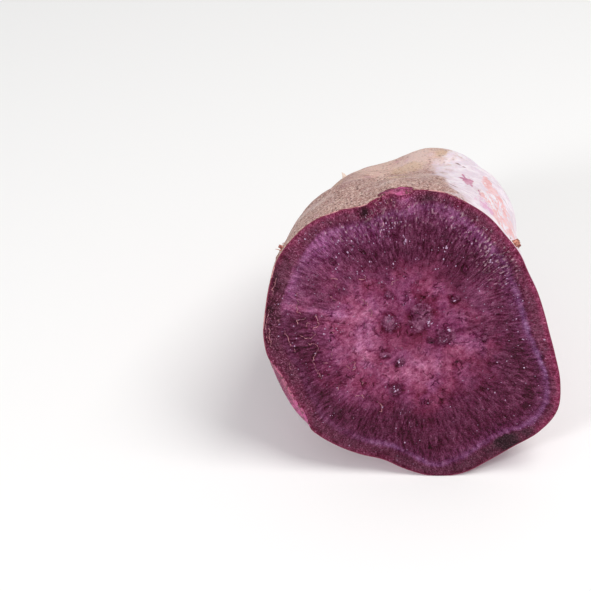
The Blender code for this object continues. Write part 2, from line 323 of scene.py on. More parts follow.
class Finish:
    """One material, laid up in shader nodes from noise, cells and what the mesh keeps."""

    def __init__(self, name):
        self.material = bpy.data.materials.new(name)
        self.material.use_nodes = True
        self.tree = self.material.node_tree
        self.shader = self.tree.nodes["Principled BSDF"]
        self.place = self.node("ShaderNodeTexCoord", "Object")
        self.coats = None

    def plug(self, socket, value):
        if isinstance(value, Wire):
            self.tree.links.new(value.socket, socket)
        else:
            socket.default_value = value

    def node(self, kind, output, inputs=(), **settings):
        """Adds one node and gives the wire from its output, or a list of wires from its outputs."""
        made = self.tree.nodes.new(kind)
        for key, value in settings.items():
            setattr(made, key, value)
        for key, value in dict(inputs).items():
            self.plug(made.inputs[key], value)
        if isinstance(output, list):
            return [Wire(self, made.outputs[name]) for name in output]
        return Wire(self, made.outputs[output])

    def sum(self, kind, *values):
        return self.node("ShaderNodeMath", 0, dict(enumerate(values)), operation=kind)

    def vector(self, kind, *values, output=0):
        return self.node("ShaderNodeVectorMath", output, dict(enumerate(values)), operation=kind)

    def stored(self, name, output="Fac"):
        return self.node("ShaderNodeAttribute", output, attribute_name=name)

    def read_at(self, size_mm, where):
        """Where a texture is read: at the places given, or at the object's own at a size in mm."""
        if where is None:
            return {"Vector": self.place, "Scale": 1 / (size_mm * MM)}
        return {"Vector": where, "Scale": 1.0}

    def noise(self, size_mm=None, where=None, detail=2.0, roughness=0.5, warp=0.0):
        inputs = {"Detail": detail, "Roughness": roughness, "Distortion": warp}
        return self.node("ShaderNodeTexNoise", "Fac", self.read_at(size_mm, where) | inputs)

    def cells(self, size_mm=None, where=None):
        """Distance to the nearest seed of a scatter of cells, and a random number for each cell."""
        off, own = self.node("ShaderNodeTexVoronoi", ["Distance", "Color"], self.read_at(size_mm, where))
        return off, self.node("ShaderNodeSeparateColor", "Red", {"Color": own})

    def ragged(self, direction, size, by):
        """Places shifted about by noise, so that what is drawn with them has torn edges."""
        inputs = {"Vector": direction, "Scale": 1 / size, "Detail": 3.0}
        torn = self.node("ShaderNodeTexNoise", "Color", inputs)
        shift = self.vector("SUBTRACT", torn, (0.5, 0.5, 0.5)) * (2 * by, 2 * by, 2 * by)
        return self.vector("ADD", direction, shift)

    def marks(self, girth, table):
        """Ovals on the skin: 1 in their middles, 0 at their edges, below 0 outside them all."""
        found = -9.0
        for degrees, where, half_round, half_along, slant in table:
            turn = math.radians(degrees)
            inputs = {
                "Vector": girth,
                "Location": (GIRTH_RADIUS * math.cos(turn), GIRTH_RADIUS * math.sin(turn), where),
                "Rotation": (math.radians(slant), 0, turn),
                "Scale": (MARK_DEPTH, half_round, half_along),
            }
            local = self.node("ShaderNodeMapping", 0, inputs, vector_type="TEXTURE")
            inside = self.sum("SUBTRACT", 1.0, self.vector("LENGTH", local, output="Value"))
            found = self.sum("MAXIMUM", found, inside)
        return found

    def over(self, below, above, share):
        """Lays one colour over another by a share."""
        inputs = {"Factor": share, 6: below, 7: above}
        return self.node("ShaderNodeMix", 2, inputs, data_type="RGBA", clamp_factor=True)

    def coat(self, colour, share):
        """Lays one more coat over those that the finish has so far."""
        self.coats = self.over(self.coats, colour, share)

    def tinted(self, light, hue):
        """The colour of this lightness and tint, both as painters' charts give them, from 0 to 255."""
        share = self.vector("DOT_PRODUCT", hue, BRIGHTNESS_SHARES, output="Value")
        shown = self.vector("ADD", light - share, hue)
        shown = self.vector("MAXIMUM", shown, (4, 4, 4)) * ((1 / 255,) * 3)
        return self.node("ShaderNodeGamma", 0, {"Color": shown, "Gamma": 2.2})

    def set(self, **values):
        for key, value in values.items():
            self.plug(self.shader.inputs[key.replace("_", " ")], value)

    def relief(self, height, distance_mm):
        inputs = {"Height": height, "Distance": distance_mm * MM}
        self.set(Normal=self.node("ShaderNodeBump", "Normal", inputs))


def dye(red, green, blue):
    """A colour as painters' charts give it, from 0 to 255, made linear for the shader."""
    def linear(part):
        part /= 255
        return part / 12.92 if part <= 0.04045 else ((part + 0.055) / 1.055) ** 2.4
    return (linear(red), linear(green), linear(blue), 1.0)


def tint(redness, blueness):
    """A tint, as how far its red and its blue stand over its green on a chart from 0 to 255."""
    return (redness, 0, blueness, 1.0)


def grow_skin():
    angle = np.arange(SKIN_SIDES) * 2 * math.pi / SKIN_SIDES
    angle, depth = np.meshgrid(angle, np.concatenate([RIM_ROWS, even_depths(SKIN_ROWS)[1:]]))
    radius = skin_radius(angle, depth)
    radius[0] -= RIM_TUCK
    points = skin_point(angle, depth, radius)
    inner = skin_point(angle[0], np.zeros(SKIN_SIDES), radius[0] - SKIN_THICKNESS)
    points = np.concatenate([inner[None], points])
    angle, depth = np.concatenate([angle[:1], angle]), np.concatenate([depth[:1], depth])
    index = np.arange(angle.size).reshape(angle.shape)
    end, tip = index[-1].tolist(), points[-1].mean(axis=0) + np.array((0, ROOT_POINT * MM, 0))
    faces = woven(np.c_[index, index[:, :1]]) + [(a, index.size, b) for a, b in zip(end, end[1:] + end[:1])]
    skin = mesh_piece("potato_skin", [*points.reshape(-1, 3).tolist(), tip.tolist()], faces)
    a, d = (np.append(x.ravel(), x[-1, 0]) for x in (angle, depth))
    turn = np.degrees(a)
    girth = np.stack((GIRTH_RADIUS * np.cos(a), GIRTH_RADIUS * np.sin(a), d), axis=-1)
    ragged = 0.6 * rumple(girth, 5, 11.0) + 0.35 * rumple(girth, 1.8, 13.0)
    from_top = np.degrees(turn_between(a, TAUPE_MIDDLE))
    right_side = TAUPE_RIGHT + WIDER_BEHIND * soft_step(d, 30, 62) + WIDER_BY_CUT * soft_step(14 - d, 0, 10)
    taupe = np.where(from_top < 0, right_side + from_top, TAUPE_LEFT - from_top)
    from_shoulder = np.abs(np.degrees(turn_between(a, PALE_MIDDLE)))
    scar = np.zeros(len(a))
    for degrees, where, _, half_round, half_along in all_eyes()[len(EYES_BY_HAND) :]:
        scar = np.maximum(scar, spot_at(a, d, degrees, where, 0.8 * half_round, 0.8 * half_along))
    sliver = (turn > 180) * (2.2 * hump(turn, SLIVER_MIDDLE, 12) - 0.7 + 1.2 * ragged)
    keep(
        skin,
        girth=girth,
        depth=d,
        bare=np.clip(shaved(a), 0, 1) * soft_step(SHAVE_DEPTH + 0.2 + sliver - d, 0, 0.5),
        lively=np.maximum(soft_step(turn, 208, 216), hump(turn, CHIP_MIDDLE, 2.4, 4)),
        taupe=soft_step(taupe + 8 * ragged, -9, 11) * soft_step(84 - d, 0, 24),
        # The pale right shoulder, partly a painted highlight where the key light falls.
        pale=soft_step(PALE_HALF_WIDTH - from_shoulder + 9 * ragged, 0, 30),
        scar=scar,
        woody=soft_step(d + 1.5 * ragged, *WOOD_SETS_IN),
        cut_edge=np.arange(len(a)) < 2 * SKIN_SIDES,
    )
    return skin


def skin_finish():
    f = Finish("sweet_potato_skin")
    girth = f.stored("girth", "Vector")
    torn = f.ragged(girth, 2.2, 1)
    finely_torn = f.ragged(girth, 0.8, 0.45)
    cloud = f.noise(14, detail=3)
    mottle = f.noise(3.2, detail=4, roughness=0.6)
    grain = f.noise(0.55, detail=3, roughness=0.7)
    fine = f.noise(0.4, detail=2, roughness=0.6)
    wrinkle = f.noise(where=girth * (0.16, 0.16, 1.3), detail=3, roughness=0.6)
    drawn_out = f.noise(where=girth * (0.2, 0.2, 0.12), detail=4, roughness=0.65)
    by_cut = f.stored("depth").band(58, 20, 0.35, 1)
    # Mauve skin under its pale bloom, and the pale right shoulder: partly its whitish bloom, partly a
    # painted highlight where the key light falls.
    mauve = f.over(dye(134, 84, 104), dye(176, 122, 146), cloud.band(0.35, 0.65))
    mauve = f.over(mauve, dye(112, 82, 84), mottle.band(0.5, 0.75) * 0.6)
    flush = f.noise(11, detail=5, roughness=0.6, warp=0.5).band(0.5, 0.64, 0, 0.7)
    mauve = f.over(mauve, dye(196, 118, 158), flush)
    bloom = f.noise(9, detail=5, roughness=0.65).band(0.42, 0.72, 0.05, 0.75)
    f.coats = f.over(mauve, dye(224, 198, 212), bloom * mottle.band(0.2, 0.6, 0.65, 0.95))
    pale = f.over(dye(232, 216, 228), dye(246, 236, 244), mottle.band(0.4, 0.62))
    f.coat(pale, f.stored("pale"))
    # Where it is rubbed pink: a salmon net, whole patches and one bright spot.
    net = f.noise(where=girth * (0.44, 0.44, 0.15), detail=4, roughness=0.6)
    net = net.band(0.43, 0.455) * net.band(0.565, 0.535)
    net = net * f.marks(torn, NETTED_PATCHES).band(0, 0.25)
    solid = f.marks(finely_torn, RUBBED_PATCHES) + f.noise(1.2, detail=3).band(0, 1, -0.8, 0.8)
    rubbed = f.sum("MAXIMUM", net * 0.85, solid.band(0, 0.15))
    f.coat(f.over(dye(244, 206, 210), dye(238, 178, 180), mottle.band(0.35, 0.6)), rubbed)
    branchy = f.noise(1.6, detail=4, roughness=0.65)
    pink = (f.marks(torn, PINK_PATCHES) + branchy.band(0.2, 0.8, -1.6, 1.4)).band(0, 0.2)
    f.coat(dye(226, 164, 202), pink * 0.85)
    # The corky top, worn pale and tan in patches.
    taupe = f.over(dye(188, 150, 144), dye(226, 194, 182), (cloud - by_cut * 0.12).band(0.32, 0.56))
    taupe = f.over(taupe, dye(168, 126, 117), by_cut * 0.64)
    taupe = f.over(taupe, dye(158, 118, 112), wrinkle.band(0.54, 0.7) * 0.35)
    taupe = f.over(taupe, dye(228, 200, 188), mottle.band(0.5, 0.7) * 0.45)
    worn = (f.marks(torn, WORN_PATCHES) + drawn_out.band(0, 1, -0.8, 0.8)).band(0, 0.6)
    taupe = f.over(taupe, dye(220, 194, 188), worn * 0.7)
    tan = (f.marks(torn, TAN_PATCHES) + (mottle - 0.5) * 1.4).band(0, 0.5)
    taupe = f.over(taupe, dye(202, 170, 138), tan * 0.55)
    edge_of_taupe = f.stored("taupe") + mottle.band(0, 1, -0.4, 0.4) + drawn_out.band(0, 1, -0.7, 0.7)
    edge_of_taupe = edge_of_taupe.band(0.1, 0.95)
    f.coat(taupe, edge_of_taupe)
    # Its pores and its dark and light grains, and the wrinkles.
    far, odds = f.cells(1)
    pore = far.band(0.4, 0.26) * odds.band(0.58, 0.64)
    corky = edge_of_taupe.band(0.2, 1, 0.08, 0.95) * by_cut
    corky = corky * worn.band(0, 1, 1, 0.6)
    f.coat(dye(122, 84, 78), grain.band(0.5, 0.6) * (corky * 0.6))
    f.coat(dye(250, 226, 216), grain.band(0.48, 0.38) * (corky * 0.75))
    f.coat(dye(84, 52, 50), pore * corky)
    f.coat(dye(128, 92, 78), f.marks(finely_torn, WRINKLES).band(0, 0.6, 0, 0.45))
    # Flakes with a pale lip and magenta skin inside, then scars, creases and the woody root.
    widely_torn = f.ragged(f.ragged(girth, 7, 9), 1.6, 2.2)
    flaked = f.marks(finely_torn, FLAKES) + (mottle - 0.5) * 0.5
    flaked = f.sum("MAXIMUM", flaked, f.marks(widely_torn, WIDE_FLAKES) + mottle.band(0, 1, -0.9, 0.7))
    inside = flaked.band(0.08, 0.16)
    magenta = f.over(dye(190, 110, 148), dye(220, 156, 184), mottle.band(0.4, 0.62))
    f.coat(dye(240, 222, 226), flaked.band(-0.06, 0.04) * 0.5)
    f.coat(magenta, inside)
    scar = f.stored("scar") * wrinkle.band(0.3, 0.6, 0.55, 1)
    f.coat(dye(124, 88, 66), scar.band(0.4, 0.8))
    f.coat(dye(70, 40, 36), scar.band(0.8, 0.95))
    crease = f.marks(finely_torn, CREASES)
    f.coat(dye(134, 96, 84), crease.band(-0.1, 0.8, 0, 0.9))
    wood = f.over(dye(84, 54, 42), dye(140, 104, 80), wrinkle.band(0.35, 0.65))
    f.coat(wood, f.stored("woody"))
    # The skin's own cut edge, crimson, with pale pink patches over the taupe top that are a painted
    # highlight, and the flesh that the knife bared where it shaved the rim.
    edge_highlight = f.stored("taupe") * f.noise(4, detail=3).band(0.5, 0.6)
    cut_edge = f.over(dye(124, 36, 66), dye(200, 140, 144), edge_highlight)
    f.coat(cut_edge, f.stored("cut_edge"))
    strands = f.noise(where=girth * (0.4, 0.4, 1.9), detail=3, roughness=0.65)
    lively = f.stored("lively")
    bare = f.over(dye(126, 40, 82), dye(172, 84, 116), f.stored("depth").band(1.3, 0.3))
    bare = f.over(bare, dye(180, 76, 130), lively * (strands + mottle).band(0.85, 1.05, 0.2, 1))
    bare = f.over(bare, dye(92, 18, 52), strands.band(0.5, 0.4) * 0.7)
    bare = f.over(bare, dye(206, 132, 160), fine.band(0.54, 0.66) * 0.6)
    scraped = f.stored("bare") * f.noise(1.3, detail=4, roughness=0.65).band(0.35, 0.65, 0.2, 1.8)
    f.coat(dye(96, 30, 50), scraped.band(0.05, 0.25))
    f.coat(bare, scraped.band(0.35, 0.6))
    rough = (inside + f.stored("bare")).band(0, 1, 0.72, 0.4)
    f.set(Base_Color=f.coats, Roughness=rough, Subsurface_Weight=0.05, Subsurface_Scale=0.001)
    f.shader.inputs["Specular IOR Level"].default_value = 0.35
    height = grain * (by_cut * 0.6) + wrinkle * (edge_of_taupe * 0.5 + 0.15)
    f.relief(height - (pore + inside) * 0.5 - crease.band(-0.4, 0.6) * 0.8, 0.2)
    return f.material


skin = grow_skin()
skin.data.materials.append(skin_finish())
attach(skin, "root")
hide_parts("potato_half")


# The cut flesh.
# It is one flat knife cut through moist, starchy flesh: crimson bark, a violet ring of vessels, dark
# wood with pale rays, and a mottled magenta heart. It is a fine grid of points, raised and sunk a little.

FLESH_GRID = 308
# How much of the skin's thickness the flesh reaches over.
EDGE_LAP = 0.6
# The heart's wisps: how they slant, and their lengths in mm along and across.
WISP_SLANT, WISP_SIZES = (0, 0, math.radians(38)), (2.4, 1.1, 1)
RING_SET_IN = (
    5.2, 5, 4.7, 4.4, 4.2, 4.6, 4.9, 3.8, 3.4, 4.2, 4.8, 5, 4.8, 4.7, 5.2, 6, 5.4, 5, 5.2, 5.6, 5.4,
    4.4, 4.2, 4.7, 4.4, 4.2, 4.5, 4.8, 3.4, 4.2, 5, 5.1, 3.6, 3.5, 3.8, 4.6,
)
# At every 30 degrees from the right: how clear the ring's line and glow are, how bright and how rough
# the bark is, and how much darker the wood is beside the ring. Then how far out the heart reaches.
ROUND_THE_CUT = {
    "ring_line": (1, 0.5, 0.3, 0.2, 0.2, 0.15, 0.1, 0.15, 0.25, 0.75, 0.6, 0.8),
    "ring_glow": (0.7, 0.9, 0.8, 0.7, 0.9, 0.5, 0.1, 0.1, 0.15, 0.35, 0.6, 0.7),
    "bark": (1, 0.8, 0.75, 0.6, 0.8, 0.55, 0.35, 0.6, 0.45, 0.35, 0.25, 0.8),
    "rough_bark": (0.35, 0.5, 0.8, 1, 1, 0.8, 1, 1, 0.7, 0.5, 0.5, 0.3),
    "shade": (-3, -7, -6, -2, -2, -1, -1, -4, -6, -9, -8, -10),
}
HEART_REACH = (-0.5, -0.5, -2, -5, -3.5, 1, 4, 4, 2, -3, -4.5, -5.5)

# Each clear bundle of vessels: across, up, half-widths, how far it swells and how light it is.
BUNDLES = (
    (2.2, 4.9, 3.7, 4.3, 0.7, 84), (-6.2, 3, 2.6, 2.8, 0.65, 90), (8.9, -0.9, 3.2, 2.8, 0.35, 76),
    (5.2, -2.2, 1.2, 1, 0.3, 66), (-3.1, -8.7, 1.6, 1.6, 0.25, 74), (-7.2, -6.4, 1.4, 1.4, 0.2, 74),
    (-6.5, 11.1, 1.3, 1.3, 0.3, 74), (11, 9.8, 1.3, 1.3, 0.25, 70), (-3.9, -16.8, 2.2, 1.9, 0.2, 62),
    (19.5, -1.5, 1, 1, 0.2, 70), (-21.5, 20.5, 1.1, 1.1, 0.2, 68), (13.5, 18.5, 1, 1.2, 0.2, 68),
)

# Each cloud of paler pink: across, up, half-widths and strength.
PINK_CLOUDS = (
    (-12.6, -4, 2.6, 4.2, 1), (-17.5, -6.5, 3.6, 4, 0.5), (-23, -9.5, 3, 3, 0.4), (-15, 1, 3, 2.6, 0.5),
    (-19, -2, 3, 2, 0.45), (3.5, -9.8, 4.2, 2.2, 0.8), (0, -12.8, 4.5, 2.2, 0.8),
    (-5, -10.5, 3, 1.6, 0.6), (15, -4.2, 4, 2.4, 0.35), (5, 13, 2.2, 3, 0.3), (19.5, 5.5, 4, 3, 0.35),
    (22.5, -0.5, 2.5, 2.5, 0.35), (20.5, 11.5, 3, 4, 0.35), (-22, 6.5, 7, 1.8, 0.2),
    (-13, 5, 3.5, 2.5, 0.9), (-23.5, 3, 3, 2, 0.35), (-23, 18, 3, 2, 0.5), (31, 0.5, 2.5, 3, 0.3),
    (-30, 9.5, 4, 2, 0.5), (-14, 9.5, 4, 2.5, 0.35), (-16.6, -18.3, 2, 1.6, 0.6),
    (-21, 13.5, 4, 2.2, 0.35),
)
PINK_STREAK = ((-38.0, 8.6), (-9.5, 3.4))
PINK_STREAK_HALF_WIDTHS = (1.5, 0.55)

# Each darker stretch of wood, in the same way.
DARK_CLOUDS = (
    (-28, -4.5, 4, 6, 0.75), (-24, -16, 5, 6, 0.7), (29, -6, 5, 12, 0.8), (22, -20, 8, 6, 0.65),
    (0, -27, 14, 5, 0.6), (9, 25, 14, 5, 0.6), (-8, 24, 7, 5, 0.5), (-8.5, -6.5, 2.2, 2.2, 0.7),
    (-29, 1.5, 3, 2.5, 0.6), (-12.5, -19.5, 3, 2, 0.5), (-3.5, -16, 3, 2.5, 0.6),
    (6, -18.5, 5, 2.5, 0.5), (-1, -18.5, 3, 2.5, 0.5), (22, -9.5, 4, 2.5, 0.6),
    (-17.5, -14, 2.5, 2, 0.5), (-7.5, 31.5, 2.5, 3, 0.6), (-10, 13.5, 8, 3, 0.45), (9, 0, 4, 3, 0.6),
)

# Each violet bloom on the ring, each magenta one on the bark, and each murky, sunken spot, darkened; in the
# pits and in the fold at the top notch that dark is painted shade.
VIOLET_BLOOMS = (
    (-25.7, 26, 4.5, 4, 0.9), (-33, 15.5, 1.8, 4, 0.7), (-2.2, 37.8, 1.2, 2, 1),
    (-1.4, 36, 1, 1.6, 0.8), (-5, 39.4, 2.2, 0.5, 0.9), (19, 29.5, 5, 3, 0.7), (-13, 28, 5, 3, 0.4),
    (11, 33, 5, 2.5, 0.45),
)
BARK_BLOOMS = ((-2.8, 37.6, 1.6, 1.2, 0.9), (-0.8, 36.4, 1.2, 1.6, 0.5))
MURKY_SPOTS = (
    (-13.3, 34.4, 1.5, 1.7, 0.75), (-12.6, 31.9, 1.3, 1.8, 0.5), (5.4, -2.9, 0.9, 0.4, 0.6),
    (12.4, -8.6, 0.7, 0.5, 0.55), (13.9, -9.2, 0.5, 0.4, 0.5), (-3.1, -9.6, 0.9, 0.4, 0.5),
    (-6.6, 0.6, 1.5, 0.35, 0.5), (-19.5, -23.5, 2, 1.8, 0.45), (-36.5, 16, 1.2, 4, 0.5),
    (-38, 6, 1.2, 4, 0.5),
)
# Where the flesh tore into grains under the knife: angle, half-width in degrees and strength.
GRAINY_STRETCHES = ((50, 22, 1), (108, 30, 0.6))
# Fibres near the bark and near the pith, and grains: how many go round, and how long they are.
OUTER_FIBRES, INNER_FIBRES, GRAINS = (48, 2.2), (19, 1.5), (56, 0.85)
# Unevenness of the cut: the size of its bumps, their height and the seed of their noise.
FLESH_WAVES = ((13, 0.14, 3), (3.6, 0.2, 5), (1.5, 0.15, 6))
RING_RIDGE, RING_RIDGE_WIDTH = 0.08, 0.9
# How far the cut falls off at its rim, and how high its fibres and grains stand, in mm.
RIM_FALL, RIM_FALL_WIDTH = 0.16, 1.3
FIBRE_HEIGHT, GRAIN_HEIGHT = 0.22, 1.1
BUNDLE_GROOVE, MURKY_SINK = 0.14, 0.5
# Each stretch of bark that has gone murky with age: angle, half-width in degrees and strength.
MURKY_BARK = ((309.5, 4, 0.95), (303, 5, 0.4), (317, 4, 0.55), (86, 5, 0.5), (172, 8, 0.35))

# Each stretch of wood where glints of wet starch between the fibres are painted in, in the same way as the
# clouds.
GLINTING_STRETCHES = (
    (-12.5, 28, 6, 4.5, 0.9), (-24, 21, 8, 5, 0.7), (6, 26, 10, 5, 0.5), (22, 22, 8, 8, 0.7),
    (28, -14, 6, 8, 0.4),
)

# Each film that the knife lifted off the flesh: points along its edge, in mm across and up.
FILM_EDGES = (
    ((-31.3, 12), (-30.6, 9.6), (-31, 7.2), (-29.5, 5.2)), ((-35.7, 4.7), (-35.4, 2.6)),
    ((-34.4, 1.1), (-33.3, -1.5), (-32.4, -4.2)), ((-31, 2.1), (-30.8, 3.6), (-29.5, 4), (-28.6, 4.5)),
    ((-30.2, -0.6), (-29, -1.5), (-27.5, -1.5), (-26.1, -0.8), (-25.9, -0.1), (-26.8, 0.1)),
    (
        (-28.1, -2.5), (-27.5, -3.5), (-25.7, -3.3), (-25.2, -4.2), (-25.9, -6.9), (-26.6, -8.8),
        (-25.7, -10.8), (-24.8, -11.3),
    ),
    ((-25.3, -11.4), (-24.6, -12.7), (-23.5, -13), (-22.6, -12.4)),
    ((-26.3, 5.2), (-25.5, 3.8), (-25, 2.3), (-26.3, 1.4), (-25.3, 0.9)),
    ((-28.6, 1.6), (-28, 3), (-26.9, 2.6)),
    ((-21.9, -5.9), (-21.2, -6.9), (-21.9, -8.4), (-23.2, -8.8), (-24.3, -8.6)),
    ((-16.9, -9.5), (-15.2, -8.8), (-15.4, -10.8), (-16.1, -11.7)),
    ((-18.6, -10.4), (-17.4, -10), (-16.8, -10.9)), ((-13.4, -14.2), (-12.7, -15.6)),
    ((-31.7, -4.3), (-31.3, -6.1)), ((-33, -8.2), (-32.6, -10.9)),
    ((-11.6, 7.6), (-10.9, 6.3), (-11.6, 5)), ((-13.6, 9.8), (-12.3, 8.6), (-11.9, 7.4)),
    ((-22.1, 0.6), (-20.9, -0.4)), ((-22.1, 11), (-21.2, 9.8), (-20.2, 9.4)),
    ((-15, 16), (-13.2, 15.4), (-12.6, 17)), ((-22, 16), (-20.2, 15), (-20.6, 13.2)),
    ((-15, -19.5), (-13.4, -18.5), (-12.4, -20)), ((-20.4, -14), (-19.4, -15.5), (-20, -17.4)),
    ((-9, -20.5), (-7.6, -22.2), (-8.2, -24)), ((-6, 14), (-4.8, 15.6), (-3.2, 15)),
    ((-38.6, 7), (-39.1, 3), (-38.9, -1), (-38.4, -3.5)), ((-38, 2), (-38.3, -1), (-37.7, -4.5)),
    ((-36.3, 16.5), (-37.2, 13), (-37.6, 9.6)), ((-11.7, 37.2), (-10.6, 36.9), (-9.9, 36.2)),
    ((-10.9, 36.4), (-10.2, 37.3), (-9, 37.9)), ((-7.5, 38.4), (-7.2, 37.3), (-7.6, 36.4)),
    ((-6.6, 38.6), (-6.2, 37.4), (-5.4, 36.2)),
)
# How far the edges wander, the step between their points, and how they taper and shade the flesh.
FILM_WANDER, FILM_STEP, FILM_TAPER, FILM_SHADE_WIDTH = 0.5, 0.12, 0.6, 0.55


def flesh_edge(angle):
    """Distance from the pith to the inner side of the skin's cut edge."""
    return smooth_round(angle, CUT_RADII) - shaved(angle) - RIM_TUCK - EDGE_LAP * SKIN_THICKNESS


def cloud_of(right, up, clouds):
    share = 0.0
    for across, high, half_across, half_up, strength in clouds:
        off = ((right - across) / half_across) ** 2 + ((up - high) / half_up) ** 2
        share = np.maximum(share, strength * np.exp(-off / 2))
    return share


def bundle_share(right, up):
    """How far in the nearest bundle a point is, from 1 to 0 at the edge, its swell and its lightness."""
    inside = []
    for across, high, half_across, half_up, _, _ in BUNDLES:
        x, y = (right - across) / half_across, (up - high) / half_up
        turn = np.arctan2(y, x)
        wobble = 0.12 * np.sin(2 * turn + across) + 0.05 * np.sin(3 * turn + high)
        inside.append(1 - np.hypot(x, y) * (1 + wobble))
    nearest = np.argmax(inside, axis=0)
    swell, light = (np.array([bundle[k] for bundle in BUNDLES])[nearest] for k in (4, 5))
    return np.max(inside, axis=0), swell, light


def streak_share(right, up):
    """The pale streak that runs in from the left rim, narrowing towards the pith."""
    (x0, y0), (x1, y1) = PINK_STREAK
    run, rise = x1 - x0, y1 - y0
    along = ((right - x0) * run + (up - y0) * rise) / (run**2 + rise**2)
    off = ((up - y0) * run - (right - x0) * rise) / math.hypot(run, rise)
    wide, narrow = PINK_STREAK_HALF_WIDTHS
    half_width = wide + (narrow - wide) * along
    return hump(off, 0, half_width) * soft_step(along, 0.0, 0.05) * soft_step(1 - along, 0.0, 0.2)


def grainy_share(angle, set_in):
    turn = np.degrees(angle) % 360
    share = sum(strength * hump(turn, middle, width) for middle, width, strength in GRAINY_STRETCHES)
    return share * soft_step(set_in, 1.2, 2.4) * soft_step(15 - set_in, 0, 8)


def along_rays(angle, radius, turns, length, seed):
    """Unevenness that is drawn out along the radius, seamless all the way round."""
    places = np.stack((turns * np.cos(angle), turns * np.sin(angle), radius / length), axis=-1)
    return rumple(places, 1, seed)


def flesh_fibres(angle, radius):
    """The unevenness of the fibres, which grow rounder towards the pith."""
    outer = along_rays(angle, radius, *OUTER_FIBRES, 2.0)
    inner = along_rays(angle, radius, *INNER_FIBRES, 2.5)
    return inner + (outer - inner) * soft_step(radius, 14, 24)


def flesh_grains(angle, radius):
    return np.clip(along_rays(angle, radius, *GRAINS, 9.0) - 0.08, 0, 0.45)


def flesh_relief(right, up):
    """How far the cut flesh stands out of the plane of the cut, in mm."""
    angle, radius = np.arctan2(up, right), np.hypot(right, up)
    set_in = flesh_edge(angle) - radius
    flat = np.stack((right, up, 0 * right), axis=-1)
    height = sum(high * rumple(flat, size, seed) for size, high, seed in FLESH_WAVES)
    height += RING_RIDGE * hump(set_in, smooth_round(angle, RING_SET_IN), RING_RIDGE_WIDTH)
    height -= RIM_FALL * soft_step(RIM_FALL_WIDTH - set_in, 0, RIM_FALL_WIDTH)
    height += FIBRE_HEIGHT * flesh_fibres(angle, radius) * soft_step(radius, 3, 9)
    height += GRAIN_HEIGHT * flesh_grains(angle, radius) * grainy_share(angle, set_in)
    inside, swell, _ = bundle_share(right, up)
    height += swell * soft_step(inside, -0.1, 0.85) - BUNDLE_GROOVE * hump(inside, 0, 0.2)
    height -= MURKY_SINK * cloud_of(right, up, MURKY_SPOTS)
    return height * soft_step(set_in, -0.1, 0.5)


def eased_line(stops, step):
    """Points at equal steps along a smooth curve through the stops, and how far along each one is."""
    stops = np.array([stops[0], *stops, stops[-1]], float)
    t = np.linspace(0, 1, 24, endpoint=False)[:, None]
    parts = [eased(*four, t) for four in zip(stops, stops[1:], stops[2:], stops[3:])]
    fine = np.concatenate([*parts, stops[-1:]])
    walked = np.concatenate([[0], np.cumsum(np.hypot(*np.diff(fine, axis=0).T))])
    ends = np.linspace(0, walked[-1], max(4, round(walked[-1] / step)))
    return np.stack([np.interp(ends, walked, fine[:, k]) for k in (0, 1)], axis=-1), ends


def film_lines():
    """Each edge's wandering line over the cut, and how much of the film stands up along it."""
    lines = []
    for number, stops in enumerate(FILM_EDGES):
        line, walked = eased_line(stops, FILM_STEP)
        spots = np.stack((walked, 0 * walked + 7.3 * number, 0 * walked), axis=-1)
        wave = [rumple(spots, 1.3, seed) + 0.8 * rumple(spots, 0.55, seed) for seed in (41.0, 47.0)]
        taper = np.clip(np.minimum(walked, walked[-1] - walked) / FILM_TAPER, 0, 1)
        taper *= 0.7 + 1.2 * rumple(spots, 1.3, 53.0)
        line = line + FILM_WANDER * np.stack(wave, axis=-1)
        angle, radius = np.arctan2(line[:, 1], line[:, 0]), np.hypot(*line.T)
        line *= np.minimum(1, (flesh_edge(angle) - 0.5) / radius)[:, None]
        lines.append((line, np.clip(taper, 0, 1)))
    return lines


def nearness(flat, lines):
    """1 on the films' edges, fading to 0 beside them."""
    ends = np.concatenate([line for line, _ in lines])
    tree = kdtree.KDTree(len(ends))
    for k, end in enumerate(ends.tolist()):
        tree.insert((*end, 0), k)
    tree.balance()
    off = np.array([tree.find(spot)[2] for spot in flat.tolist()])
    return hump(off, 0, FILM_SHADE_WIDTH)


def disc_grid(count):
    """A square grid of points pressed into a round one, as turn and share of the radius."""
    step = np.linspace(-1, 1, count + 1)
    x, y = np.meshgrid(step, step)
    wide = np.abs(x) >= np.abs(y)
    share = np.where(wide, x, y)
    safe = np.where(share == 0, 1, share)
    turn = np.where(wide, math.pi / 4 * y / safe, math.pi / 2 - math.pi / 4 * x / safe)
    return np.arctan2(share * np.sin(turn), share * np.cos(turn)), np.abs(share)


